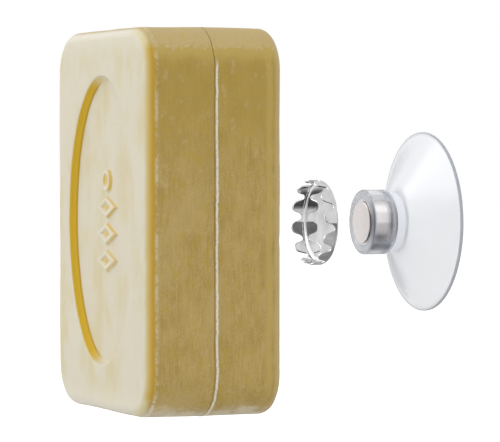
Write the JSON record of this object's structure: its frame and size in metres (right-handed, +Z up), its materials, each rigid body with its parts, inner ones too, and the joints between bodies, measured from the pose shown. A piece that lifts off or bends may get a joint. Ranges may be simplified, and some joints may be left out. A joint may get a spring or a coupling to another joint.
{
  "type": "magnetic soap holder",
  "caption": "Clear suction cup with a disc magnet in its head, a toothed steel cap that presses into a bar of soap, and the bar, shown pulled apart along one axis.",
  "frame": {"origin": "centre of the suction cup's rim, on the wall that the cup grips", "axes": "+Y along the holder's axis into the wall, +Z up, +X to the right seen from the room"},
  "size_m": [0.0724, 0.0963, 0.1032],
  "materials": {
    "clear_plastic": "clear soft plastic, smooth and glossy",
    "nickel": "bright nickel plate",
    "glue": "clear set glue",
    "steel": "polished pressed steel sheet",
    "soap": "dry olive soap, matt and slightly mottled"
  },
  "bodies": {
    "cup": {"suction_cup": "clear_plastic"},
    "magnet": {"magnet": "nickel", "glue_film": "glue"},
    "cap": {"toothed_cap": "steel"},
    "soap": {"soap_bar": "soap"}
  },
  "joints": [
    {"name": "cup_press", "type": "slide", "parent": "cup", "child": "magnet", "axis": [0, -1, 0], "range_m": [-0.004, 0], "stiffness_N_per_m": 5000, "deforming": ["suction_cup"]},
    {"name": "cap_lift", "type": "slide", "parent": "magnet", "child": "cap", "axis": [0, -1, 0], "range_m": [-0.0115, 0.02]},
    {"name": "soap_lift", "type": "slide", "parent": "cap", "child": "soap", "axis": [0, -1, 0], "range_m": [-0.0264, 0.03]}
  ]
}
